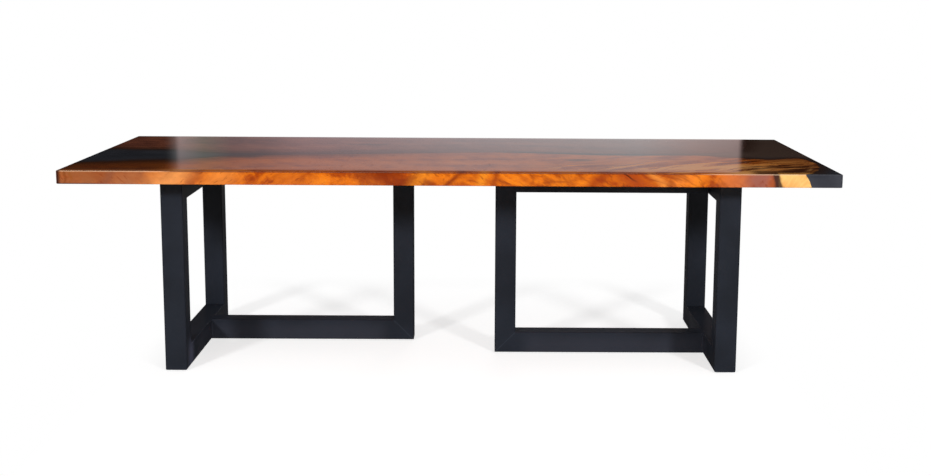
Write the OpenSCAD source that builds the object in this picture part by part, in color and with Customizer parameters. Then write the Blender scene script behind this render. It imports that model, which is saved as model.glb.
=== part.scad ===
// Dining table: two live-edge slabs joined by cast black resin, on two welded
// bases of square tube. Millimetres, +Z up. The origin is on the floor under
// the middle of the tabletop, +X runs along the table and -Y is the front.

/* [Tabletop] */
// Length of the tabletop, end to end
top_length = 2743; // [2400:1:3000]
// Width of the tabletop, front to back
top_width = 1100; // [1000:1:1200]
// Thickness of the wood and the resin
top_thickness = 48; // [40:1:70]
// Height of the tabletop's upper face above the floor
table_height = 765; // [700:1:800]
// Rounding along the tabletop's upper and lower edges
edge_round = 3; // [1:0.5:6]
// Rounding of the tabletop's four upright corners
corner_round = 9; // [7:0.5:20]

/* [Live edges and resin] */
// How much further a slab reaches at the bottom of a live edge than at its top
live_slant = 14; // [4:1:18]
// Height of the small waves along a live edge
live_ripple = 2.5; // [0:0.5:5]
// Width of the resin seam where the slabs come closest
seam_width = 10; // [5:1:20]
// Distance from the front edge to the seam at mid length
seam_from_front = 565; // [480:1:600]
// Distance from the front edge to the resin inlet at the left end
inlet_from_front = 215; // [120:1:260]
// Width of the resin inlet at the left end
inlet_width = 425; // [300:1:480]
// Length of resin along the front edge, from the right end
corner_length = 136; // [100:1:200]
// Resin left between the front slab's right end and the table's end
end_margin = 24; // [20:1:60]
// Length of resin along the rear edge, from the right end
field_length = 110; // [80:1:160]

/* [Bases] */
// Side of the square tube
tube = 80; // [60:1:100]
// Wall of the square tube
tube_wall = 3; // [2:0.5:5]
// Outer corner radius of the square tube
tube_corner = 6; // [5.5:0.5:10]
// Distance from the tabletop's end to the outer face of an end frame
frame_setback = 320; // [250:0.5:400]
// Width of an end frame, front to back
end_frame_width = 780; // [600:1:860]
// Distance of an inner frame's middle from the table's middle line
inner_frame_offset = 90; // [60:1:180]
// Gap along the table between the free ends of the two inner frames
inner_gap = 324; // [240:1:600]
// Leg of the fillet welds where an inner frame meets an end frame
weld_leg = 4; // [2:0.5:6]

/* [Mounting plates] */
// Thickness of the plates welded on the bases
plate_thickness = 6; // [4:0.5:10]
// Width of both kinds of plate
plate_width = 160; // [150:1:220]
// Length of the plate on an end frame
end_plate_length = 720; // [500:1:760]
// Length of the plate on an inner frame
inner_plate_length = 160; // [150:1:240]
// Corner radius of the plates
plate_corner = 8; // [2:0.5:15]
// Length of the slots that let the wood move
slot_length = 18; // [12:0.5:24]
// Length of each stitch weld under a plate
stitch_length = 50; // [20:1:80]

/* [Bolts and inserts] */
// Shank diameter of the base bolts
bolt_diameter = 8; // [6:0.5:10]
// Length of the base bolts under the head
bolt_length = 25; // [20:1:28]
// Width across flats of a bolt's head
bolt_head_flats = 13; // [11:0.5:17]
// Height of a bolt's head
bolt_head_height = 5.3; // [4:0.1:8]
// Diameter of the washers
washer_diameter = 24; // [20:0.5:30]
// Thickness of the washers
washer_thickness = 2; // [1:0.25:3]
// Outer diameter of the threaded inserts for the base bolts
insert_diameter = 12; // [11.5:0.5:16]
// Length of the threaded inserts for the base bolts
insert_length = 18; // [14:1:24]
// Distance from a bolt to the plate's long edges
bolt_inset = 20; // [16:0.5:24]
// Distance from a bolt to the end plate's short edges
bolt_end_inset = 40; // [25:1:80]

/* [Stiffening channels] */
// Length of a channel, front to back
channel_length = 800; // [500:1:900]
// Width of a channel over its flanges
channel_width = 40; // [30:1:60]
// Height of a channel's flanges, web included
channel_height = 20; // [14:1:26]
// Metal thickness of a channel
channel_wall = 3; // [2:0.5:5]
// Distance from the middle channel to each outer one
channel_spacing = 600; // [560:1:640]
// Shank diameter of the channel screws
screw_diameter = 6; // [4:0.5:8]
// Length of the channel screws under the head
screw_length = 16; // [12:1:18]
// Head diameter of the channel screws
screw_head_diameter = 14; // [12:0.5:18]
// Head height of the channel screws
screw_head_height = 3.3; // [2:0.1:5]
// Outer diameter of the inserts for the channel screws
screw_insert_diameter = 10; // [9.5:0.5:13]
// Length of the inserts for the channel screws
screw_insert_length = 13; // [8:1:16]

/* [Floor pads] */
// Diameter of a floor pad
pad_diameter = 45; // [25:1:60]
// Thickness of a floor pad
pad_height = 3; // [2:0.5:6]
// Distance from a frame's free end to the middle of its pad
pad_inset = 40; // [30:1:80]

/* [Clearances] */
// Gap round an insert in its hole
glue_gap = 0.1; // [0.05:0.05:0.3]
// Gap between a screw and the bore of its insert
thread_gap = 0.1; // [0.05:0.05:0.3]
// Gap between a bolt or screw and the sides of its slot
slot_gap = 0.5; // [0.25:0.25:1]
// Gap between a channel and the sides of its groove
groove_gap = 0.5; // [0.25:0.25:1]
// Room left above a channel's flanges and above an insert
depth_gap = 1; // [0.5:0.5:2]

/* [Hidden] */

WOOD_FRONT = "#a8622f";
WOOD_REAR = "#6b4030";
RESIN = "#1d1f21";
POWDER_COAT = "#212329";
ZINC = "#b9bcc0";
BRASS = "#b08d4a";
RUBBER = "#17181a";

left_end = -top_length / 2;
right_end = top_length / 2;
front = -top_width / 2;
rear = top_width / 2;
underside = table_height - top_thickness;
frame_top = underside - plate_thickness;
frame_bottom = pad_height;

end_frame_x = left_end + frame_setback + tube / 2;
joint_x = end_frame_x + tube / 2;
free_end_x = -inner_gap / 2;
inner_post_x = free_end_x - tube / 2;

// How far cutting shapes run past what they cut
cut = 5;
// Samples between two chosen points of a live edge
SPAN_STEPS = 6;
// Long and short wave of the ripple along a live edge
RIPPLE_WAVES = [170, 74];
// A live edge's wall: height as a share of the thickness, reach as a share of live_slant
LIVE_PROFILE = [[-0.1, 1.04], [0.45, 0.66], [1.1, -0.1]];

seam_front = front + seam_from_front - seam_width / 2;
seam_rear = seam_front + seam_width;
inlet_front = front + inlet_from_front;
inlet_rear = inlet_front + inlet_width;
slab_end = right_end - end_margin;
corner_x = right_end - corner_length;
field_x = right_end - field_length;

// Rear live edge of the front slab, from the left end, round the slab's right
// end to the front edge. Each point is x, y and its share of slant and ripple.
FRONT_SLAB_EDGE = [
    [left_end - 60, inlet_front - 12, 1],
    [left_end + 40, inlet_front + 6, 1],
    [left_end + 140, inlet_front + 36, 1],
    [left_end + 240, inlet_front + 74, 1],
    [left_end + 345, inlet_front + 88, 1],
    [left_end + 440, seam_front - 192, 1],
    [left_end + 560, seam_front - 122, 0.6],
    [-600, seam_front - 76, 0.1],
    [-440, seam_front - 54, 0],
    [-270, seam_front - 34, 0],
    [-120, seam_front - 12, 0],
    [20, seam_front + 8, 0],
    [150, seam_front + 22, 0.1],
    [290, seam_front + 6, 0.7],
    [right_end - 920, seam_front - 34, 1],
    [right_end - 750, seam_front - 58, 1],
    [right_end - 590, seam_front - 54, 1],
    [right_end - 450, seam_front - 44, 1],
    [right_end - 340, seam_front - 84, 1],
    [right_end - 250, seam_front - 138, 1],
    [right_end - 170, seam_front - 164, 1],
    [slab_end - 76, seam_front - 134, 1],
    [slab_end - 30, seam_front - 122, 1],
    [slab_end - 6, seam_front - 186, 1],
    [slab_end, front + 285, 1],
    [slab_end - 14, front + 180, 1],
    [slab_end - 46, front + 92, 1],
    [corner_x + 36, front + 30, 1],
    [corner_x - 12, front - 14, 1],
    [corner_x - 60, front - 50, 1]
];

// Front live edge of the rear slab, from the left end to the rear edge
REAR_SLAB_EDGE = [
    [left_end - 60, inlet_rear + 12, 1],
    [left_end + 30, inlet_rear, 1],
    [left_end + 120, inlet_rear - 16, 1],
    [left_end + 210, inlet_rear - 14, 1],
    [left_end + 290, inlet_rear - 34, 1],
    [left_end + 370, inlet_rear - 82, 1],
    [left_end + 460, seam_rear - 44, 0.9],
    [left_end + 580, seam_rear - 62, 0.5],
    [-600, seam_rear - 72, 0.1],
    [-440, seam_rear - 54, 0],
    [-270, seam_rear - 34, 0],
    [-120, seam_rear - 12, 0],
    [20, seam_rear + 8, 0],
    [150, seam_rear + 26, 0.2],
    [290, seam_rear + 28, 0.6],
    [right_end - 920, seam_rear + 6, 1],
    [right_end - 750, seam_rear - 14, 1],
    [right_end - 590, seam_rear - 8, 1],
    [right_end - 450, seam_rear + 8, 1],
    [right_end - 350, seam_rear + 30, 1],
    [field_x - 152, seam_rear + 62, 1],
    [field_x - 104, seam_rear + 128, 1],
    [field_x - 72, rear - 290, 1],
    [field_x - 40, rear - 180, 1],
    [field_x - 26, rear - 80, 1],
    [field_x, rear, 1],
    [field_x + 24, rear + 60, 1]
];

// One value of a smooth curve through four values, between the middle two
function blend(a, b, c, d, t) =
    b + 0.5 * t * (c - a + t * (2 * a - 5 * b + 4 * c - d + t * (3 * (b - c) + d - a)));

// The chosen points joined into a smooth run of samples
function smooth_run(points) = let (last = len(points) - 1) [
    for (i = [0:last - 1], step = [0:SPAN_STEPS - 1])
        blend(points[max(i - 1, 0)], points[i], points[i + 1], points[min(i + 2, last)],
            step / SPAN_STEPS),
    points[last]
];

// Unit direction to the left of a run of samples, seen from above
function side_of(run, i) =
    let (step = run[min(i + 1, len(run) - 1)] - run[max(i - 1, 0)])
    [-step.y, step.x] / norm([step.x, step.y]);

function ripple(p) = live_ripple * p.z * (
    0.6 * sin(360 * (p.x + 1.7 * p.y) / RIPPLE_WAVES.x)
    + 0.4 * sin(360 * (p.x - 1.3 * p.y) / RIPPLE_WAVES.y));

// The samples moved outwards by a share of the slant; side is 1 or -1
function edge_at(run, share, side) = [
    for (i = [0:len(run) - 1])
        [run[i].x, run[i].y]
            + side * (live_slant * share * run[i].z + ripple(run[i])) * side_of(run, i)
];

// Solid bounded by a live edge wall on one side and by the closing points,
// which lie outside the tabletop, on the others
module live_edge_solid(points, side, closing) {
    run = smooth_run(points);
    rings = [
        for (level = LIVE_PROFILE)
            [for (p = concat(edge_at(run, level.y, side), closing))
                [p.x, p.y, underside + level.x * top_thickness]]
    ];
    n = len(rings[0]);
    top = len(rings) - 1;
    corners = [for (ring = rings) each ring];
    walls = [
        for (k = [0:top - 1], i = [0:n - 1])
            let (j = (i + 1) % n)
            each [
                [k * n + i, k * n + j, (k + 1) * n + j],
                [k * n + i, (k + 1) * n + j, (k + 1) * n + i]
            ]
    ];
    caps = [
        [for (i = [n - 1:-1:0]) i],
        [for (i = [0:n - 1]) top * n + i]
    ];
    polyhedron(corners, concat(walls, caps));
}

module front_slab_solid() {
    live_edge_solid(FRONT_SLAB_EDGE, 1, [
        [corner_x - 60, front - 80],
        [left_end - 60, front - 80]
    ]);
}

module rear_slab_solid() {
    mirror([0, 1, 0])
        live_edge_solid([for (p = REAR_SLAB_EDGE) [p.x, -p.y, p.z]], 1, [
            [field_x + 24, -rear - 90],
            [left_end - 60, -rear - 90]
        ]);
}

// Rectangle with rounded corners, centred
module rounded_rect(x, y, r) {
    square([x - 2 * r, y], center = true);
    square([x, y - 2 * r], center = true);
    for (sx = [-1, 1], sy = [-1, 1])
        translate([sx * (x / 2 - r), sy * (y / 2 - r)])
            circle(r, $fn = 48);
}

// Section of the tabletop: a rectangle of the given width with eased corners
module top_section(width) {
    translate([0, underside + top_thickness / 2])
        rounded_rect(width, top_thickness, edge_round);
}

module along_x(length) {
    rotate([90, 0, 90])
        linear_extrude(length, center = true)
            children();
}

module along_y(length) {
    rotate([90, 0, 0])
        linear_extrude(length, center = true)
            children();
}

// The whole tabletop with its eased edges, before it is split up
module top_blank() {
    along_x(top_length - 2 * corner_round)
        top_section(top_width);
    along_y(top_width - 2 * corner_round)
        top_section(top_length);
    for (sx = [-1, 1], sy = [-1, 1])
        translate([sx * (right_end - corner_round), sy * (rear - corner_round), 0])
            rotate_extrude($fn = 72)
                intersection() {
                    top_section(2 * corner_round);
                    translate([0, underside - cut])
                        square([corner_round + cut, top_thickness + 2 * cut]);
                }
}

PLATE_BOLT_X = plate_width / 2 - bolt_inset;
BASE_BOLTS = concat(
    [for (sx = [-1, 1], sy = [-1, 1])
        [end_frame_x + sx * PLATE_BOLT_X, sy * (end_plate_length / 2 - bolt_end_inset)]],
    [for (sx = [-1, 1], sy = [-1, 1])
        [inner_post_x + sx * (inner_plate_length / 2 - bolt_inset),
            inner_frame_offset + sy * PLATE_BOLT_X]]
);
CHANNEL_X = [-channel_spacing, 0, channel_spacing];
CHANNEL_SCREW_Y = [for (share = [-0.775, -0.275, 0.275, 0.775]) share * channel_length / 2];
CHANNEL_SCREWS = [for (x = CHANNEL_X, y = CHANNEL_SCREW_Y) [x, y]];
web_top = underside + channel_wall;

module at_each(spots, z) {
    for (p = spots)
        translate([p.x, p.y, z])
            children();
}

module turned() {
    rotate([0, 0, 180])
        children();
}

// Section of a channel's groove, or of the channel itself where grow is 0
module channel_section(grow, extra_height) {
    half = channel_width / 2 + grow;
    translate([-half, 0])
        square([2 * half, channel_wall]);
    for (sx = [-1, 1])
        translate([sx * (channel_width - channel_wall) / 2 - channel_wall / 2 - grow, 0])
            square([channel_wall + 2 * grow, channel_height + extra_height]);
}

module channel_grooves() {
    for (x = CHANNEL_X)
        translate([x, 0, underside])
            along_y(channel_length + 2 * groove_gap)
                difference() {
                    channel_section(groove_gap, depth_gap);
                    // the groove has no floor, so it is open below the web
                    translate([-channel_width, -cut])
                        square([2 * channel_width, cut]);
                }
}

// What is routed and drilled into the underside of slabs and resin
module underside_cuts() {
    channel_grooves();
    at_each(CHANNEL_SCREWS, underside)
        cylinder(h = channel_wall + screw_insert_length + depth_gap,
            d = screw_insert_diameter + 2 * glue_gap, $fn = 48);
    insert_holes();
    turned()
        insert_holes();
}

module insert_holes() {
    at_each(BASE_BOLTS, underside - cut)
        cylinder(h = cut + insert_length + depth_gap,
            d = insert_diameter + 2 * glue_gap, $fn = 48);
}

module front_slab() {
    color(WOOD_FRONT)
        difference() {
            intersection() {
                top_blank();
                front_slab_solid();
            }
            underside_cuts();
        }
}

module rear_slab() {
    color(WOOD_REAR)
        difference() {
            intersection() {
                top_blank();
                rear_slab_solid();
            }
            underside_cuts();
        }
}

module resin_casting() {
    color(RESIN)
        difference() {
            top_blank();
            front_slab_solid();
            rear_slab_solid();
            underside_cuts();
        }
}

// Slot with round ends, long side along Y, cut upwards from the origin
module slot(width, height) {
    straight = slot_length - width;
    translate([-width / 2, -straight / 2, 0])
        cube([width, straight, height]);
    for (sy = [-1, 1])
        translate([0, sy * straight / 2, 0])
            cylinder(h = height, d = width, $fn = 48);
}

module channel(x) {
    color(POWDER_COAT)
        difference() {
            translate([x, 0, underside])
                along_y(channel_length)
                    channel_section(0, 0);
            at_each([for (y = CHANNEL_SCREW_Y) [x, y]], underside - cut)
                slot(screw_diameter + 2 * slot_gap, channel_wall + 2 * cut);
        }
}

module channel_screws() {
    color(ZINC)
        at_each(CHANNEL_SCREWS, underside) {
            cylinder(h = screw_length, d = screw_diameter, $fn = 48);
            translate([0, 0, -screw_head_height])
                cylinder(h = screw_head_height, d = screw_head_diameter, $fn = 48);
        }
}

// Threaded sleeve standing on the origin
module insert(outer, length, bore) {
    difference() {
        cylinder(h = length, d = outer, $fn = 48);
        translate([0, 0, -cut])
            cylinder(h = length + 2 * cut, d = bore + 2 * thread_gap, $fn = 48);
    }
}

module channel_inserts() {
    color(BRASS)
        at_each(CHANNEL_SCREWS, web_top)
            insert(screw_insert_diameter, screw_insert_length, screw_diameter);
}

module base_inserts() {
    color(BRASS)
        at_each(BASE_BOLTS, underside)
            insert(insert_diameter, insert_length, bolt_diameter);
}

module base_washers() {
    color(ZINC)
        at_each(BASE_BOLTS, frame_top - washer_thickness)
            difference() {
                cylinder(h = washer_thickness, d = washer_diameter, $fn = 48);
                translate([0, 0, -cut])
                    cylinder(h = washer_thickness + 2 * cut,
                        d = bolt_diameter + 2 * slot_gap, $fn = 48);
            }
}

module base_bolts() {
    color(ZINC)
        at_each(BASE_BOLTS, frame_top - washer_thickness) {
            cylinder(h = bolt_length, d = bolt_diameter, $fn = 48);
            translate([0, 0, -bolt_head_height])
                cylinder(h = bolt_head_height, d = bolt_head_flats / cos(30), $fn = 6);
        }
}

module tube_section() {
    difference() {
        rounded_rect(tube, tube, tube_corner);
        rounded_rect(tube - 2 * tube_wall, tube - 2 * tube_wall, tube_corner - tube_wall);
    }
}

// Keeps what lies over an outline in the YZ plane, round an end frame
module mitre_yz(outline) {
    intersection() {
        children();
        translate([end_frame_x, 0, 0])
            along_x(tube + 2 * cut)
                polygon(outline);
    }
}

// Keeps what lies over an outline in the XZ plane, round an inner frame
module mitre_xz(outline) {
    intersection() {
        children();
        translate([0, inner_frame_offset, 0])
            along_y(tube + 2 * cut)
                polygon(outline);
    }
}

// Outline of a rail from near to far whose ends are mitred inwards; the low
// edge lies at z and rise is the tube's height, negative for a rail under z
function rail_outline(near, far, z, rise) =
    let (s = sign(rise))
    [
        [near - cut, z - s * cut], [far + cut, z - s * cut],
        [far - tube - cut, z + rise + s * cut], [near + tube + cut, z + rise + s * cut]
    ];

// Outline of an upright whose outer face is at outer; inward is 1 or -1
function upright_outline(outer, inward) = [
    [outer - inward * cut, frame_bottom - cut],
    [outer - inward * cut, frame_top + cut],
    [outer + inward * (tube + cut), frame_top - tube - cut],
    [outer + inward * (tube + cut), frame_bottom + tube + cut]
];

module end_upright(side) {
    outer = side * end_frame_width / 2;
    color(POWDER_COAT)
        mitre_yz(upright_outline(outer, -side))
            translate([end_frame_x, outer - side * tube / 2, frame_bottom])
                linear_extrude(frame_top - frame_bottom)
                    tube_section();
}

module end_rail(low, rise) {
    color(POWDER_COAT)
        mitre_yz(rail_outline(-end_frame_width / 2, end_frame_width / 2, low, rise))
            translate([end_frame_x, 0, low + rise / 2])
                along_y(end_frame_width)
                    tube_section();
}

// Rail square against the end frame, mitred at its free end
module inner_rail(low, rise) {
    s = sign(rise);
    length = free_end_x - joint_x;
    color(POWDER_COAT)
        mitre_xz([
            [joint_x - cut, low - s * cut], [free_end_x + cut, low - s * cut],
            [free_end_x - tube - cut, low + rise + s * cut], [joint_x - cut, low + rise + s * cut]
        ])
            translate([joint_x + length / 2, inner_frame_offset, low + rise / 2])
                along_x(length)
                    tube_section();
}

module inner_upright() {
    color(POWDER_COAT)
        mitre_xz(upright_outline(free_end_x, -1))
            translate([inner_post_x, inner_frame_offset, frame_bottom])
                linear_extrude(frame_top - frame_bottom)
                    tube_section();
}

module plate(length_x, length_y, spots) {
    color(POWDER_COAT)
        difference() {
            translate([0, 0, frame_top])
                linear_extrude(plate_thickness)
                    rounded_rect(length_x, length_y, plate_corner);
            at_each(spots, frame_top - cut)
                slot(bolt_diameter + 2 * slot_gap, plate_thickness + 2 * cut);
        }
}

module end_plate() {
    translate([end_frame_x, 0, 0])
        plate(plate_width, end_plate_length,
            [for (sx = [-1, 1], sy = [-1, 1])
                [sx * PLATE_BOLT_X, sy * (end_plate_length / 2 - bolt_end_inset)]]);
}

module inner_plate() {
    translate([inner_post_x, inner_frame_offset, 0])
        plate(inner_plate_length, plate_width,
            [for (sx = [-1, 1], sy = [-1, 1])
                [sx * (inner_plate_length / 2 - bolt_inset), sy * PLATE_BOLT_X]]);
}

// Weld in the groove that a tube's round corner leaves against a flat face.
// The corner's middle is at the origin and the groove opens towards +X +Y.
module groove_weld_section() {
    difference() {
        square(tube_corner);
        circle(tube_corner, $fn = 48);
    }
}

// Welds round the butt joint of an inner rail whose lower face is at z
module joint_welds(z) {
    flat = tube - 2 * tube_corner;
    for (sy = [-1, 1])
        translate([joint_x, inner_frame_offset + sy * tube / 2, z + tube_corner])
            linear_extrude(flat)
                polygon([[0, 0], [weld_leg, 0], [0, sy * weld_leg]]);
    for (side = [-1, 1])
        translate([joint_x - tube_corner, inner_frame_offset,
                z + tube / 2 + side * (tube / 2 - tube_corner)])
            along_y(flat)
                scale([1, side])
                    groove_weld_section();
}

// Stitch welds between the top rails and the plates that lie on them
module plate_stitches() {
    corner_z = frame_top - tube_corner;
    for (side = [-1, 1]) {
        for (y = [-1, 1] * (end_plate_length / 2 - bolt_end_inset - stitch_length))
            translate([end_frame_x + side * (tube / 2 - tube_corner), y, corner_z])
                along_y(stitch_length)
                    scale([side, 1])
                        groove_weld_section();
        translate([inner_post_x - tube / 2, inner_frame_offset + side * (tube / 2 - tube_corner),
                corner_z])
            along_x(stitch_length)
                scale([side, 1])
                    groove_weld_section();
    }
}

module weld_beads() {
    color(POWDER_COAT) {
        joint_welds(frame_bottom);
        joint_welds(frame_top - tube);
        plate_stitches();
    }
}

module floor_pads() {
    spots = [
        [end_frame_x, -end_frame_width / 2 + pad_inset],
        [end_frame_x, end_frame_width / 2 - pad_inset],
        [free_end_x - pad_inset, inner_frame_offset]
    ];
    color(RUBBER)
        at_each(spots, 0)
            cylinder(h = pad_height, d = pad_diameter, $fn = 64);
}

front_slab();
rear_slab();
resin_casting();
channel(-channel_spacing);  // left_channel
channel(0);  // middle_channel
channel(channel_spacing);  // right_channel
channel_screws();
channel_inserts();
end_upright(-1);  // left_near_upright
end_upright(1);  // left_far_upright
end_rail(frame_bottom, tube);  // left_floor_rail
end_rail(frame_top, -tube);  // left_top_rail
inner_rail(frame_bottom, tube);  // left_inner_floor_rail
inner_upright();  // left_inner_upright
inner_rail(frame_top, -tube);  // left_inner_top_rail
end_plate();  // left_end_plate
inner_plate();  // left_inner_plate
weld_beads();  // left_weld_beads
floor_pads();  // left_floor_pads
base_bolts();  // left_base_bolts
base_washers();  // left_base_washers
base_inserts();  // left_base_inserts
turned() end_upright(1);  // right_near_upright
turned() end_upright(-1);  // right_far_upright
turned() end_rail(frame_bottom, tube);  // right_floor_rail
turned() end_rail(frame_top, -tube);  // right_top_rail
turned() inner_rail(frame_bottom, tube);  // right_inner_floor_rail
turned() inner_upright();  // right_inner_upright
turned() inner_rail(frame_top, -tube);  // right_inner_top_rail
turned() end_plate();  // right_end_plate
turned() inner_plate();  // right_inner_plate
turned() weld_beads();  // right_weld_beads
turned() floor_pads();  // right_floor_pads
turned() base_bolts();  // right_base_bolts
turned() base_washers();  // right_base_washers
turned() base_inserts();  // right_base_inserts
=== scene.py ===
import math
from types import SimpleNamespace

import bmesh
import bpy
import numpy as np
from mathutils import Euler, Matrix, Vector


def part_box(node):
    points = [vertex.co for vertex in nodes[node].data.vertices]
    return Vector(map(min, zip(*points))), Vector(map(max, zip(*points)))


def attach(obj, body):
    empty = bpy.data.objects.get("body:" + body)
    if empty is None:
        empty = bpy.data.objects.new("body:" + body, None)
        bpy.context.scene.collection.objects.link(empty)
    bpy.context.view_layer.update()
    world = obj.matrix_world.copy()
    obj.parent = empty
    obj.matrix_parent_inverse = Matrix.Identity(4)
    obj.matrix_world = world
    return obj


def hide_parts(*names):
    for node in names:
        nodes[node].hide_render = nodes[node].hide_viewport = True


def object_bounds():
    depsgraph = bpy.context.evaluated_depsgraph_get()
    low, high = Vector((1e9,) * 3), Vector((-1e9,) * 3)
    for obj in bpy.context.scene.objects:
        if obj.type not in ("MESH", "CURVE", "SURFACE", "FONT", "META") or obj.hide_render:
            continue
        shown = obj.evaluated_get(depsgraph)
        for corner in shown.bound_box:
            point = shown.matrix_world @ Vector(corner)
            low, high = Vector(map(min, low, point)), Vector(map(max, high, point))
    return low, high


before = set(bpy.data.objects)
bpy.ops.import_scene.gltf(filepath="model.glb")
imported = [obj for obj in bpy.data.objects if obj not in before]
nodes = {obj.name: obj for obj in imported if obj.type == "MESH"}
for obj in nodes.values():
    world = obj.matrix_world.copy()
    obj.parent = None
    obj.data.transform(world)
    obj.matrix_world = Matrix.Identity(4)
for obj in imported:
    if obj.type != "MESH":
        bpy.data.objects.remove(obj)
cad_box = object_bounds()
scene = bpy.context.scene


# Point of view. The table is seen from a standing person's height, a little
# right of its middle and five metres in front, through a normal lens.
EYE = Vector((0.1211, -5.0492, 1.3869))
LOOK_RIGHT = math.radians(0.4202)
LOOK_DOWN = math.radians(8.761)
LEAN = math.radians(-0.371)
SENSOR = 36.0
LENS = 50.466
PHOTO_SIZE = (931, 476)
VANISHING_CENTRE = (494.36, 192.97)


def new_object(name, data):
    made = bpy.data.objects.new(name, data)
    scene.collection.objects.link(made)
    return made


camera = new_object("camera", bpy.data.cameras.new("camera"))
camera.data.lens = LENS
camera.data.sensor_width = SENSOR
camera.data.shift_x = (PHOTO_SIZE[0] / 2 - VANISHING_CENTRE[0]) / PHOTO_SIZE[0]
camera.data.shift_y = (VANISHING_CENTRE[1] - PHOTO_SIZE[1] / 2) / PHOTO_SIZE[0]
turn = Euler((math.pi / 2 - LOOK_DOWN, 0, -LOOK_RIGHT)).to_matrix() @ Matrix.Rotation(-LEAN, 3, "Z")
camera.matrix_world = Matrix.Translation(EYE) @ turn.to_4x4()
scene.camera = camera


# Studio. A white floor runs out into a white backdrop. Two soft lamps stand in
# front of the table and one behind it, and the polished top mirrors one bright
# strip of the backdrop, like a window, with dark to both sides of it.
STRIP_LEFT = math.radians(-13.33)
STRIP_RIGHT = math.radians(11.15)
STRIP_BLUR = math.radians(0.13)
STRIP_STOPS = [
    (0.0, (0.34, 0.28, 0.28)), (0.045, (0.18, 0.18, 0.16)), (0.095, (0.155, 0.125, 0.135)),
    (0.15, (0.19, 0.155, 0.17)), (0.22, (0.30, 0.235, 0.255)), (0.25, (0.31, 0.25, 0.27)),
    (0.5, (0.40, 0.38, 0.40)), (0.82, (0.47, 0.46, 0.47)), (0.93, (0.44, 0.36, 0.35)),
    (1.0, (0.40, 0.30, 0.29)),
]
# Heights in the backdrop are sines of the angle above the horizon.
STRIP_FADE = {"low": 0.107, "high": 0.136, "low_value": 1.3, "high_value": 0.72}
STRIP_END = {"low": 0.142, "high": 0.19, "low_value": 1.0, "high_value": 0.08}
SKIRT_WIDTH = math.radians(0.8)
SKIRT_LEVEL = 0.10
BAND_HEIGHT = 0.1322
BAND_HALF = 0.0045
BAND_LEVEL = 0.18
BEHIND_VIEWER = {"low": 0.2, "high": -0.4, "low_value": 0.0, "high_value": 0.03}
OVERHEAD = {"low": 0.8, "high": 0.97, "low_value": 0.0, "high_value": 2.0}
DARK = 0.005
FILL = (0.30, 0.30, 0.30)
WHITE = (1.0, 1.0, 1.0)
LIT_POINT = Vector((0, 0, 0.5))
LAMPS = {
    "front_left_lamp": ((-3.6, -5.8, 2.8), 0.9, 250),
    "front_right_lamp": ((3.6, -5.8, 2.8), 0.9, 250),
    "rear_lamp": ((0.5, 6.0, 1.8), 3.0, 90),
}
FLOOR_SIZE = 30
SHADOW_REACH = (2.0, 2.8)
SHADOW_SIDES = (0.95, 1.25)
SHADOW_BACK = (0.80, 1.30)
SHADOW_GREY = 0.58
SHADOW_GLOW = 0.65
BOUNCED_GREY = 0.6
MIRRORED_GREY = 0.12


def paint(code):
    """A colour written as it looks on a screen, in the linear values of a shader."""
    shares = [int(code[i:i + 2], 16) / 255 for i in (1, 3, 5)]
    return tuple(s / 12.92 if s <= 0.04045 else ((s + 0.055) / 1.055) ** 2.4 for s in shares)


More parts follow.
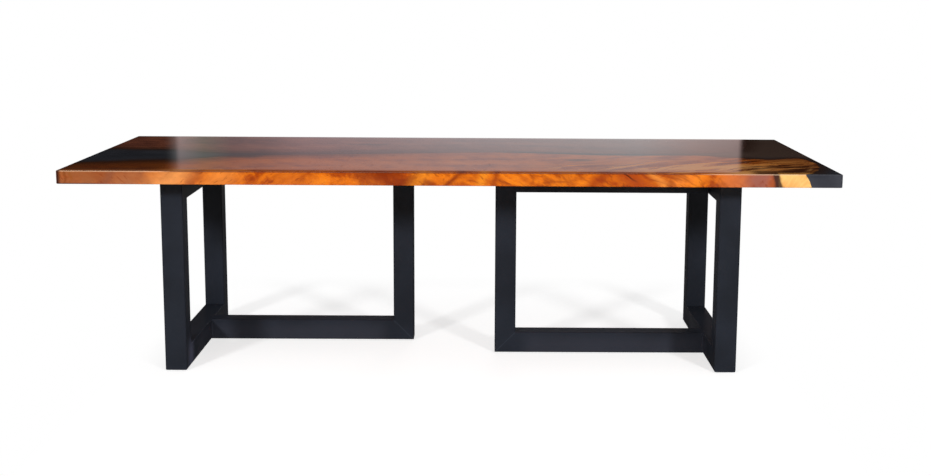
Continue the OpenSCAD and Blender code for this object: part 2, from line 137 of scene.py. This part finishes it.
class Wire:
    """One socket of a shader. Sums of wires and numbers add the Math nodes for them."""

    def __init__(self, tree, socket=None):
        self.tree = tree
        self.socket = socket

    def node(self, kind, sockets, out=0, stops=None, **settings):
        """A new node and the wire from its output, or the wires from a tuple of outputs."""
        made = self.tree.nodes.new("ShaderNode" + kind)
        for name, value in settings.items():
            setattr(made, name, value)
        if stops:
            ramp = made.color_ramp
            while len(ramp.elements) < len(stops):
                ramp.elements.new(1.0)
            for element, (place, colour) in zip(ramp.elements, stops):
                element.position = place
                element.color = (*colour, 1.0)
        for name, value in sockets.items():
            if isinstance(value, Wire):
                self.tree.links.new(value.socket, made.inputs[name])
            else:
                made.inputs[name].default_value = value
        if isinstance(out, tuple):
            return [Wire(self.tree, made.outputs[name]) for name in out]
        return Wire(self.tree, made.outputs[out])

    def sum(self, operation, *values):
        return self.node("Math", dict(enumerate(values)), operation=operation)

    def __add__(self, other):
        return self.sum("ADD", self, other)

    def __radd__(self, other):
        return self.sum("ADD", other, self)

    def __sub__(self, other):
        return self.sum("SUBTRACT", self, other)

    def __rsub__(self, other):
        return self.sum("SUBTRACT", other, self)

    def __mul__(self, other):
        return self.sum("MULTIPLY", self, other)

    def __rmul__(self, other):
        return self.sum("MULTIPLY", other, self)

    def __abs__(self):
        return self.sum("ABSOLUTE", self)

    def power(self, exponent):
        return self.sum("POWER", self, exponent)

    def wave(self):
        return self.sum("SINE", self)

    def under(self, limit):
        """One where this wire is less than the limit, and nothing elsewhere."""
        return self.sum("LESS_THAN", self, limit)

    def least(self, other):
        return self.sum("MINIMUM", self, other)

    def most(self, other):
        return self.sum("MAXIMUM", self, other)

    def rise(self, low, high, low_value=0.0, high_value=1.0):
        """Goes smoothly from low_value to high_value as the wire goes from low to high."""
        sockets = {"Value": self, "From Min": low, "From Max": high,
                   "To Min": low_value, "To Max": high_value}
        return self.node("MapRange", sockets, interpolation_type="SMOOTHSTEP")

    def bump(self, centre, half_width):
        """One at centre, fading to nothing half_width away on both sides."""
        return abs(self - centre).rise(0.0, half_width, 1.0, 0.0)

    def blend(self, *stops):
        """The colours of the stops, each at its own value of this wire."""
        painted = [(value, paint(code)) for value, code in stops]
        return self.node("ValToRGB", {0: self}, stops=painted)

    def into(self, mask, colour):
        """This colour, going over to another one where the mask is 1."""
        if isinstance(colour, str):
            colour = paint(colour)
        if not isinstance(colour, Wire):
            colour = (*colour, 1.0)
        return self.node("Mix", {0: mask, 6: self, 7: colour}, out=2, data_type="RGBA")

    def noise(self, scale, detail=3.0, roughness=0.5, distortion=0.0):
        """Noise from 0 to 1 over this vector."""
        sockets = {"Vector": self, "Scale": scale, "Detail": detail,
                   "Roughness": roughness, "Distortion": distortion}
        return self.node("TexNoise", sockets)

    def split(self):
        """The x, y and z of this vector."""
        return self.node("SeparateXYZ", {0: self}, out=(0, 1, 2))


def light_paths(tree):
    """Two masks: what is seen straight or through glass, and what a gloss mirrors."""
    straight, through, mirrored = Wire(tree).node(
        "LightPath", {}, out=("Is Camera Ray", "Is Transmission Ray", "Is Glossy Ray"))
    return straight.most(through), mirrored


def empty_tree(owner):
    owner.use_nodes = True
    owner.node_tree.nodes.clear()
    return owner.node_tree


scene.view_settings.view_transform = "Standard"
scene.world = bpy.data.worlds.new("studio")
sky = empty_tree(scene.world)
across, ahead, up = Wire(sky).node("TexCoord", {}, out="Generated").split()
azimuth = across.sum("ARCTAN2", across, ahead)
share = (azimuth - STRIP_LEFT) * (1 / (STRIP_RIGHT - STRIP_LEFT))
inside = (azimuth.rise(STRIP_LEFT - STRIP_BLUR, STRIP_LEFT + STRIP_BLUR)
          * azimuth.rise(STRIP_RIGHT - STRIP_BLUR, STRIP_RIGHT + STRIP_BLUR, 1.0, 0.0))
fade = up.rise(**STRIP_FADE)
level = inside * fade * up.rise(**STRIP_END)
skirt = (azimuth.rise(STRIP_LEFT - SKIRT_WIDTH, STRIP_LEFT).power(3)
         * azimuth.rise(STRIP_LEFT + STRIP_BLUR, STRIP_LEFT - STRIP_BLUR) * fade)
band = (inside * up.bump(BAND_HEIGHT, BAND_HALF)
        * share.rise(0.0, 0.12) * share.rise(0.75, 0.55))
around = (ahead.rise(**BEHIND_VIEWER) + up.rise(**OVERHEAD)
          + band * BAND_LEVEL + skirt * SKIRT_LEVEL + DARK)
profile = share.node("ValToRGB", {0: share}, stops=STRIP_STOPS)
strip = profile.node("VectorMath", {0: profile, 1: level}, operation="MULTIPLY")
mirrored = strip.node("VectorMath", {0: strip, 1: around}, operation="ADD")
seen, glossy = light_paths(sky)
sky_colour = mirrored.into(1 - glossy, FILL).into(seen, WHITE)
lighting = sky_colour.node("Background", {"Color": sky_colour})
lighting.node("OutputWorld", {0: lighting}, out=())

for name, (stand, size, power) in LAMPS.items():
    light = bpy.data.lights.new(name, "AREA")
    light.shape = "DISK"
    light.size = size
    light.energy = power
    holder = new_object(name, light)
    aim = (LIT_POINT - Vector(stand)).to_track_quat("-Z", "Y")
    holder.matrix_world = Matrix.Translation(stand) @ aim.to_matrix().to_4x4()
    holder.visible_glossy = False


def mesh_of(form, name):
    """The finished form as a mesh."""
    mesh = bpy.data.meshes.new(name)
    form.to_mesh(mesh)
    form.free()
    return mesh


def dress(piece, material):
    piece.data.materials.clear()
    piece.data.materials.append(material)


def diffuse(grey):
    return Wire(paper).node("BsdfDiffuse", {"Color": (grey, grey, grey, 1)})


def glow(strength):
    return Wire(paper).node("Emission", {"Strength": strength})


def mix(factor, first, second):
    return factor.node("MixShader", {0: factor, 1: first, 2: second})


sheet = bmesh.new()
bmesh.ops.create_grid(sheet, x_segments=1, y_segments=1, size=FLOOR_SIZE)
floor = new_object("floor", mesh_of(sheet, "floor"))
floor_paper = bpy.data.materials.new("white_paper")
paper = empty_tree(floor_paper)
place = Wire(paper).node("TexCoord", {}, out="Object")
along, behind = place.split()[:2]
distance = place.node("VectorMath", {0: place}, out="Value", operation="LENGTH")
bare = (distance.rise(*SHADOW_REACH).most(abs(along).rise(*SHADOW_SIDES))
        .most(behind.rise(*SHADOW_BACK)))
seen, glossy = light_paths(paper)
shadowed = glossy.node("AddShader", {0: diffuse(SHADOW_GREY), 1: glow(SHADOW_GLOW)})
unseen = mix(glossy, diffuse(BOUNCED_GREY), diffuse(MIRRORED_GREY))
shown = mix(seen, unseen, mix(bare, shadowed, glow(1.0)))
shown.node("OutputMaterial", {0: shown}, out=())
dress(floor, floor_paper)


# Slabs and casting. The slabs are sawn lengthwise and keep the tree's wavy edge
# where they face the resin, which was poured between them and polished with
# them. The clear coat over all three rolls off by a millimetre at the outline.
CELL = 0.02
MERGED = 1e-5
ON_CUT = 1e-6
FLUSH = 0.0006
RIM = 0.004
STEEP = 0.7
NEARLY_LEVEL = 0.96
LEVEL = 0.999
CREASE = math.radians(32)
ROLL_OFF_REACH = 0.055
ROLL_OFF_DEPTH = 0.0012
ROLL_OFF_ROWS = (0.004, 0.010, 0.017, 0.028, 0.042, 0.056)
POINTS_AT_ONCE = 2000
slab_low, slab_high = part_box("front_slab")
FRONT = slab_low.y
MIDDLE_HEIGHT = (slab_low.z + slab_high.z) / 2
FACE_EDGE = (0.0040, 0.0015)
CURL_STEP = 0.043
SAPWOOD_FROM = 1.147
SAPWOOD_WIDTH = 0.040


def inset_of(point):
    """How far inside the table's outline a point is in plan."""
    return min(cad_box[1].x - abs(point.x), cad_box[1].y - abs(point.y))


def merged_copy(node):
    """The node's own form with its loose triangles joined."""
    form = bmesh.new()
    form.from_mesh(nodes[node].data)
    bmesh.ops.remove_doubles(form, verts=form.verts, dist=MERGED)
    return form


def live_edge_lines(node):
    """The upper rim of a slab where it meets the resin, as pairs of points in plan."""
    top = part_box(node)[1].z
    form = merged_copy(node)
    form.normal_update()
    pairs = []
    for edge in form.edges:
        if len(edge.link_faces) != 2:
            continue
        middle = (edge.verts[0].co + edge.verts[1].co) / 2
        steeper, flatter = sorted(abs(face.normal.z) for face in edge.link_faces)
        on_rim = middle.z > top - RIM and steeper < STEEP and flatter > NEARLY_LEVEL
        if on_rim and inset_of(middle) > FLUSH:
            pairs.append([edge.verts[0].co.xy[:], edge.verts[1].co.xy[:]])
    form.free()
    return np.array(pairs)


def distance_to_lines(points, pairs):
    """How far each point in plan is from the nearest of the lines."""
    start = pairs[None, :, 0]
    run = pairs[None, :, 1] - start
    share = ((points[:, None] - start) * run).sum(2) / (run ** 2).sum(2)
    nearest = start + np.clip(share, 0, 1)[..., None] * run
    return np.sqrt(((points[:, None] - nearest) ** 2).sum(2)).min(1)


def gridded_copy(name, node, edge_lines):
    """A finer copy of a node whose points know how far the live edge is from them."""
    form = merged_copy(node)
    low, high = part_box(node)
    for axis in (0, 1):
        normal = Vector((0, 0, 0))
        normal[axis] = 1
        cuts = int((high[axis] - low[axis]) / CELL)
        rows = [low[axis] + i * CELL for i in range(1, cuts)]
        rows += [side * (cad_box[1][axis] - row) for row in ROLL_OFF_ROWS for side in (-1, 1)]
        for row in rows:
            whole = form.verts[:] + form.edges[:] + form.faces[:]
            bmesh.ops.bisect_plane(form, geom=whole, plane_co=normal * row, plane_no=normal,
                                   dist=ON_CUT)
    form.normal_update()
    for face in form.faces:
        face.smooth = True
    for edge in form.edges:
        level_faces = sum(abs(face.normal.z) > LEVEL for face in edge.link_faces)
        live_edge = level_faces == 1 and inset_of(edge.verts[0].co) > RIM
        edge.smooth = edge.calc_face_angle(0.0) < CREASE and not live_edge
    for vert in form.verts:
        inset = inset_of(vert.co)
        if vert.co.z > high.z - RIM and inset < ROLL_OFF_REACH:
            vert.co.z -= ROLL_OFF_DEPTH * (1 - inset / ROLL_OFF_REACH) ** 2
    mesh = mesh_of(form, name)
    points = np.empty(len(mesh.vertices) * 3)
    mesh.vertices.foreach_get("co", points)
    plan = points.reshape(-1, 3)[:, :2]
    batches = np.array_split(plan, max(1, len(plan) // POINTS_AT_ONCE))
    reach = np.concatenate([distance_to_lines(batch, edge_lines) for batch in batches])
    mesh.attributes.new("live_reach", "FLOAT", "POINT").data.foreach_set("value", reach)
    piece = new_object(name, mesh)
    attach(piece, "root")
    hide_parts(node)
    return piece


def vector(x, y, z):
    wire = next(part for part in (x, y, z) if isinstance(part, Wire))
    return wire.node("CombineXYZ", {"X": x, "Y": y, "Z": z})


def new_material(name):
    """A material, its Principled shader and a wire over its object's own coordinates."""
    material = bpy.data.materials.new(name)
    material.use_nodes = True
    tree = material.node_tree
    place = Wire(tree).node("TexCoord", {}, out="Object")
    return material, tree.nodes["Principled BSDF"], place


def live_reach(place):
    """The distance from the live edge that gridded_copy left in the mesh."""
    return place.node("Attribute", {}, out="Fac", attribute_name="live_reach")


def connect(shader, name, wire):
    wire.tree.links.new(wire.socket, shader.inputs[name])


def emboss(shader, height, strength, distance):
    """Relief of a surface, where a height of 1 stands out by the distance."""
    sockets = {"Strength": strength, "Distance": distance, "Height": height}
    connect(shader, "Normal", height.node("Bump", sockets, out="Normal"))


def grain_of(place, knots):
    """A slab's patterns. The grain runs along the table and bends with live edge and knots."""
    x, y, z = place.split()
    lift = z - MIDDLE_HEIGHT
    from_front = y - FRONT
    on_face = from_front.rise(*FACE_EDGE)
    reach = live_reach(place)
    drift = vector(x * 0.8, y * 1.8, z * 2).noise(1.3, detail=2.0) - 0.5
    warp = vector(x * 2.6, y * 7, z * 7).noise(1.8, detail=3.0) - 0.5
    ragged = vector(x * 10, y * 16, z * 10).noise(1.0, detail=3.0) - 0.5
    rings = reach + drift * 0.20 + warp * 0.035 + z * 0.4
    eye = 0.0
    for (knot_x, knot_y), radius in knots:
        spread = (((x - knot_x) * (0.6 / radius)).power(2)
                  + ((y - knot_y) * (1 / radius)).power(2) + ragged * 1.2)
        push = spread.rise(0.0, 1.0, 1.0, 0.0)
        eye = push.most(eye)
        rings = rings + push * (radius * 0.9)

    along = x * 0.6 + warp * 0.06
    broad = vector(along * 1.5, rings * 8.0, z).noise(1.0, detail=3.0, roughness=0.6)
    medium = vector(along * 3.0, rings * 26.0, z * 5).noise(1.0, detail=4.0, roughness=0.6)
    fine = vector(along * 6.0, rings * 150.0, z * 14).noise(1.0, detail=3.0, roughness=0.6)
    tilt = (vector(x * 1.7, y, 0.3).noise(1.0, detail=1.0) - 0.5) * 7
    slanted = x + y * 0.3 + lift * tilt + warp * 0.08
    patches = vector(slanted * 15.0, y * 8.0, z * 14).noise(1.0, detail=4.0, roughness=0.6)
    sweep = x * 0.72 + y * 0.69 + drift * 0.1
    athwart = y * 0.72 - x * 0.50 + drift * 0.25
    feather = vector(sweep * 4.0, athwart * 17.0, z * 12).noise(1.0, detail=4.0, roughness=0.6,
                                                               distortion=0.5)
    return SimpleNamespace(
        x=x, y=y, z=z, lift=lift, from_front=from_front, on_face=on_face, on_top=1 - on_face,
        reach=reach, drift=drift, warp=warp, rings=rings, eye=eye, slanted=slanted,
        broad=broad, medium=medium, fine=fine, patches=patches, feather=feather)


def wood(name, tones, feathers_from, knots, marks, shades, own_zones=None):
    """Clear-coated slab wood. Places are in metres along the table, from its middle.

    A knot is a place in plan and a radius. A mark on the front face is a place, a half
    width, a lean, a strength and a colour. A shade on the top goes from one place to
    another, with a strength and a colour.
    """
    material, shader, place = new_material(name)
    grain = grain_of(place, knots)
    x, y, z, patches = grain.x, grain.y, grain.z, grain.patches
    on_top, on_face = grain.on_top, grain.on_face

    wild = x.rise(feathers_from - 0.3, feathers_from + 0.1)
    calm_tone = grain.broad * 0.40 + grain.medium * 0.20 + grain.fine * 0.05 + patches * 0.35
    wild_tone = grain.feather * 0.50 + patches * 0.28 + grain.medium * 0.22
    tone = calm_tone * (1 - wild) + (wild_tone * on_top + calm_tone * on_face) * wild
    tone = tone + (tone - 0.5) * (on_face * 0.45 - on_top * 0.3)
    base = tone.rise(0.34, 0.66).blend(*tones)

    curl_where = vector(x * 2.0, y * 3.0, z).noise(1.3, detail=2.0).rise(0.46, 0.62)
    curl = ((grain.slanted + grain.drift * 0.2) * (2 * math.pi / CURL_STEP)).wave() * 0.5 + 0.5
    base = base.into(curl * patches.rise(0.35, 0.6) * curl_where * on_face * 0.3, tones[-1][1])

    near_front = grain.from_front.rise(0.09, 0.02)
    for centre, half_width, lean, depth, colour in marks:
        wandering = x + grain.warp * 0.06 - grain.lift * lean
        amount = near_front * (patches + 0.5) * depth
        base = base.into(wandering.bump(centre, half_width) * amount, colour)

    veins = vector(grain.slanted * 7.0, y * 5.0, z * 8).noise(1.0, detail=3.0, distortion=0.8)
    vein_mask = abs(veins - 0.5).rise(0.06, 0.0) * patches.rise(0.60, 0.42)
    base = base.into(vein_mask * on_face * x.rise(-0.9, 0.2, 0.15, 0.5), "#84300a")
    specks = vector(grain.slanted * 70.0, y * 70.0, z * 45).noise(1.0, detail=2.0)
    base = base.into(specks.rise(0.63, 0.72) * on_face * 0.45, "#7a2c08")
    pores = vector(x * 50.0, (y + grain.rings) * 420.0, z * 420).noise(1.0, detail=1.0)
    pore_mask = pores.rise(0.62, 0.74)
    base = base.into(pore_mask * 0.22, tones[0][1])
    swirl = (grain.eye * 26).wave() * 0.25 + 0.5
    base = base.into(grain.eye.rise(0.55, 1.0) * swirl, "#2c130a")
    for dark_from, dark_to, depth, colour in shades:
        amount = depth + (grain.broad - 0.5) * 0.5
        base = base.into(x.rise(dark_from, dark_to) * amount * on_top, colour)
    if own_zones:
        base = own_zones(base, grain)

    smoky = (grain.reach + (grain.medium - 0.5) * 0.08).rise(0.17, -0.02) * on_top
    base = base.into(smoky * x.rise(0.1, -0.6) * 0.78, "#2a1810")
    bark = grain.reach.rise(0.0050, 0.0015)
    connect(shader, "Base Color", base.into(bark * 0.6, "#1a0f0a"))
    connect(shader, "Roughness", 0.05 + pore_mask * 0.08 + (grain.drift * grain.drift) * 0.2)
    emboss(shader, pore_mask, strength=0.04, distance=0.0002)
    shader.inputs["IOR"].default_value = 1.5
    return material


def front_slab_zones(base, grain):
    """What only the front slab has: feathered gold, painted highlights, a pale sapwood end and its
    arrises.
    """
    x, y, lift, from_front = grain.x, grain.y, grain.lift, grain.from_front
    feather, patches, on_top, on_face = grain.feather, grain.patches, grain.on_top, grain.on_face

    # On the top towards the right end: a dark tongue, gold between it and the front, and painted
    # highlights on the figure.
    tongue = feather.rise(0.50, 0.42) * x.rise(0.95, 1.1) * on_top
    gold = feather.rise(0.49, 0.58) * x.rise(0.55, 0.9) * y.rise(-0.10, -0.30) * on_top
    painted_front_highlight = feather.rise(0.42, 0.56) * x.rise(0.2, 0.5) * y.bump(-0.40, 0.13) * on_top
    painted_end_highlight = x.bump(1.05, 0.16) * y.rise(-0.25, -0.40) * feather.rise(0.34, 0.46) * on_top
    hem_end = (x + grain.drift * 0.1).rise(1.04, 1.09)
    hem = hem_end * (y + grain.warp * 0.05).rise(-0.43, -0.49) * on_top
    base = (base.into(tongue * 0.75, "#3a1c0c").into(gold * 0.8, "#f4a050")
            .into(painted_front_highlight * 0.5, "#ffb260").into(painted_end_highlight * 0.9, "#ffb468")
            .into(hem * 0.85, "#4a2410"))

    # Sapwood along the live edge of the top, then on the face up to its dark line.
    streaks = grain.medium * 0.6 + grain.fine * 0.4
    pale = streaks.blend((0.35, "#7a4a26"), (0.65, "#c08850"))
    broken = vector(x * 14, y * 14, grain.z).noise(1.0, detail=2.0).rise(0.44, 0.58, 0.1, 1.0)
    rim = (grain.reach + (grain.medium - 0.5) * 0.06).bump(SAPWOOD_WIDTH * 0.6,
                                                           SAPWOOD_WIDTH * 0.5)
    where = x.rise(SAPWOOD_FROM - 0.14, SAPWOOD_FROM - 0.04)
    base = base.into(rim * where * broken * on_top, pale)

    pale_face = (patches * 0.5 + streaks * 0.5).blend((0.38, "#de9448"), (0.60, "#f2be72"))
    sap_end = (x + (grain.medium - 0.5) * 0.016).rise(SAPWOOD_FROM - 0.003, SAPWOOD_FROM + 0.003)
    base = base.into(from_front.rise(0.050, 0.020) * sap_end * on_top * 0.7, "#d89448")
    base = base.into(sap_end * on_face, pale_face)
    line = (x + (patches - 0.5) * 0.03 + lift * 0.1).bump(SAPWOOD_FROM - 0.007, 0.020)
    crack = (x + (patches - 0.5) * 0.04 + lift * 1.6).bump(0.642, 0.010)
    base = base.into((line * 1.6).least(1.0) * on_face * 0.9, "#2a1d1c")
    base = base.into(crack * lift.rise(-0.013, 0.011) * on_face * 0.9, "#1c0c06")

    # Painted light on the rounded edges, which catch other light than the face between them:
    # highlights at the upper arris ends and the top's left front, shade along the middle of the
    # upper arris, on the lower arris at the left and on the left corner.
    arris = lift.rise(0.0185, 0.0210) * on_face
    ends = abs(x + 0.05).rise(0.90, 1.0)
    low_arris = lift.rise(-0.0185, -0.0220) * x.rise(-1.19, -1.26) * on_face
    painted_corner_shade = x.rise(-1.350, -1.365) * from_front.rise(0.020, 0.010)
    lit_rim = from_front.rise(0.045, 0.018) * x.rise(-0.90, -1.05) * on_top
    return (base.into(arris * (1 - ends) * 0.75, "#5e2408").into(arris * ends * 0.4, "#e8c8a4")
            .into(low_arris * 0.8, "#4a1c0c").into(painted_corner_shade * 0.95, "#2e0f0c")
            .into(lit_rim * 0.55, "#b4683a"))


front_rim = live_edge_lines("front_slab")
rear_rim = live_edge_lines("rear_slab")

front_slab = gridded_copy("front_slab_wood", "front_slab", front_rim)
dress(front_slab, wood(
    "golden_wood",
    tones=[(0.0, "#802c06"), (0.28, "#a8460a"), (0.5, "#c8620e"), (0.75, "#d86c10"),
           (1.0, "#e67e18")],
    feathers_from=0.45,
    knots=[((-0.80, -0.13), 0.07), ((0.48, -0.20), 0.06), ((1.02, -0.34), 0.05)],
    marks=[(-1.31, 0.30, 0.2, 1.0, "#95552f"), (-1.345, 0.009, 0.0, 0.6, "#74380e"),
           (-1.325, 0.010, 0.0, 0.45, "#8a4a16"), (-1.11, 0.13, 0.4, 0.9, "#a0603a"),
           (-1.19, 0.03, 0.6, 0.5, "#7e4a36"), (-0.97, 0.12, 0.9, 0.85, "#e49450"),
           (-0.80, 0.11, 0.7, 0.8, "#e68636"), (-0.10, 0.06, 0.5, 0.8, "#e68620"),
           (-0.55, 0.12, -0.6, 0.5, "#ba5c1c"), (-0.29, 0.08, -0.6, 0.6, "#9e4814"),
           (0.010, 0.022, 1.0, 0.8, "#7c2a08"), (0.155, 0.02, 0.2, 0.7, "#8a3008"),
           (0.105, 0.030, 0.3, 0.7, "#f59422"), (0.39, 0.07, 0.9, 0.5, "#e8801a"),
           (0.52, 0.05, 0.9, 0.7, "#8e2c06"), (0.64, 0.10, -0.8, 0.8, "#9a360e"),
           (0.72, 0.03, -0.9, 0.6, "#f2963e"), (0.80, 0.09, 0.6, 0.6, "#ee8630"),
           (0.98, 0.08, 0.2, 0.9, "#cc6c34"), (1.085, 0.110, 0.2, 1.0, "#96594a")],
    shades=[(-0.93, -1.05, 0.72, "#3a1e12"), (1.06, 1.24, 0.6, "#4a2814")],
    own_zones=front_slab_zones,
))

rear_slab = gridded_copy("rear_slab_wood", "rear_slab", rear_rim)
dress(rear_slab, wood(
    "dark_wood",
    tones=[(0.0, "#50281e"), (0.35, "#7c4432"), (0.65, "#96553c"), (1.0, "#ae6a4a")],
    feathers_from=2.5,
    knots=[((-0.35, 0.27), 0.08), ((-1.02, 0.30), 0.05)],
    marks=[],
    shades=[(0.2, 0.8, 0.35, "#3a2219"), (0.95, 1.15, 0.85, "#3e2a22")],
))

casting = gridded_copy("resin_casting_polished", "resin_casting",
                       np.concatenate([front_rim, rear_rim]))
black_resin, shader, place = new_material("black_resin")
x, y = place.split()[:2]
haze = place.noise(7.0, detail=4.0)
thin = ((live_reach(place) + (haze - 0.5) * 0.03).rise(0.075, 0.0)
        * (y - FRONT).rise(0.005, 0.020))
smoke = haze.rise(0.3, 0.75).blend((0.0, "#303138"), (1.0, "#3e3f46"))
smoke = smoke.into(x.rise(0.7, 1.0) * y.rise(-0.25, 0.0), "#58443a")
connect(shader, "Base Color", smoke.into(thin * 0.75, "#3c2418"))
connect(shader, "Roughness", 0.05 + (haze - 0.5) * 0.03)
emboss(shader, place.noise(2.4, detail=1.0), strength=0.15, distance=0.0006)
dress(casting, black_resin)


# Steel. Both bases are welded from square tube, mitred and ground flush at the
# corners, and powder coated satin black with the plates welded on them. The
# three channels let into the underside of the top have the same coat.
frame_low, frame_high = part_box("left_near_upright")
TUBE = frame_high.x - frame_low.x
OUTER_SIDE = -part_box("left_floor_rail")[0].y
FREE_END = -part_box("left_inner_upright")[1].x
JOINT = -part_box("left_floor_rail")[1].x
SEAM_WIDTH = 0.0022
BEAD_STEP = 0.0042
COATED_TUBES_AND_PLATES = [
    "near_upright", "far_upright", "floor_rail", "top_rail", "inner_floor_rail",
    "inner_upright", "inner_top_rail", "end_plate", "inner_plate",
]


def steel_coat(name, rippled=False):
    """Satin powder coat, with the ripples of a weld under it where it is rippled."""
    material, shader, place = new_material(name)
    x, y, z = place.split()
    above = z - frame_low.z
    below = frame_high.z - z
    from_free = abs(x) - FREE_END
    on_inner = abs(x).under(JOINT)
    inset = on_inner * from_free + (1 - on_inner) * (OUTER_SIDE - abs(y))
    near_corner = inset.under(TUBE) * above.least(below).under(TUBE)
    from_mitre = abs(inset - above).least(abs(inset - below))
    seam = from_mitre.rise(SEAM_WIDTH, 0.0) * near_corner
    # The inner floor rails are lighter towards the floor, and a painted sheen lies on the coat at
    # the left near foot.
    lighter_low_rails = z.rise(0.10, 0.03) * abs(y).rise(0.24, 0.18) * from_free.rise(0.08, 0.16)
    painted_sheen = y.bump(-0.32, 0.075) * z.rise(0.135, 0.05) * x.rise(-0.90, -0.95)
    cloud = place.noise(5.0, detail=3.0)
    tone = cloud.rise(0.3, 0.7).blend((0.0, "#1f2229"), (1.0, "#252932"))
    tone = tone.into(lighter_low_rails * 0.5, "#3b3c46").into(painted_sheen * 0.7, "#575a70")
    connect(shader, "Base Color", tone.into(seam * 0.9, "#3d424c"))
    connect(shader, "Roughness", 0.42 + (cloud - 0.5) * 0.08 + seam * 0.1)
    relief = place.noise(420.0, detail=2.0) * 0.12 + seam
    if rippled:
        relief = relief + ((x + y + z) * (2 * math.pi / BEAD_STEP)).wave() * 0.6
    emboss(shader, relief, strength=0.25, distance=0.0004)
    return material


coat = steel_coat("powder_coat")
bead_coat = steel_coat("powder_coat_on_welds", rippled=True)
for side in ("left", "right"):
    for name in COATED_TUBES_AND_PLATES:
        dress(nodes[f"{side}_{name}"], coat)
    dress(nodes[f"{side}_weld_beads"], bead_coat)
for name in ("left_channel", "middle_channel", "right_channel"):
    dress(nodes[name], coat)


# Fasteners and pads. Zinc-plated bolts, screws and washers go into brass
# inserts in the underside, and rubber pads are stuck under the floor rails.
def plain_metal(name, low, high, roughness):
    """Bare or plated metal, slightly mottled."""
    material, shader, place = new_material(name)
    mottle = place.noise(160.0, detail=3.0)
    connect(shader, "Base Color", mottle.rise(0.3, 0.7).blend((0.0, low), (1.0, high)))
    connect(shader, "Roughness", roughness + (mottle - 0.5) * 0.15)
    shader.inputs["Metallic"].default_value = 1.0
    return material


zinc = plain_metal("zinc_plate", "#a9adb2", "#c6c9cd", 0.32)
brass = plain_metal("insert_brass", "#a07c3c", "#c29a52", 0.35)
rubber, shader, place = new_material("pad_rubber")
speckle = place.noise(900.0, detail=2.0)
connect(shader, "Base Color", speckle.blend((0.3, "#121213"), (0.7, "#1e1e20")))
connect(shader, "Roughness", 0.7 + speckle * 0.2)
dress(nodes["channel_screws"], zinc)
dress(nodes["channel_inserts"], brass)
for side in ("left", "right"):
    dress(nodes[f"{side}_base_bolts"], zinc)
    dress(nodes[f"{side}_base_washers"], zinc)
    dress(nodes[f"{side}_base_inserts"], brass)
    dress(nodes[f"{side}_floor_pads"], rubber)
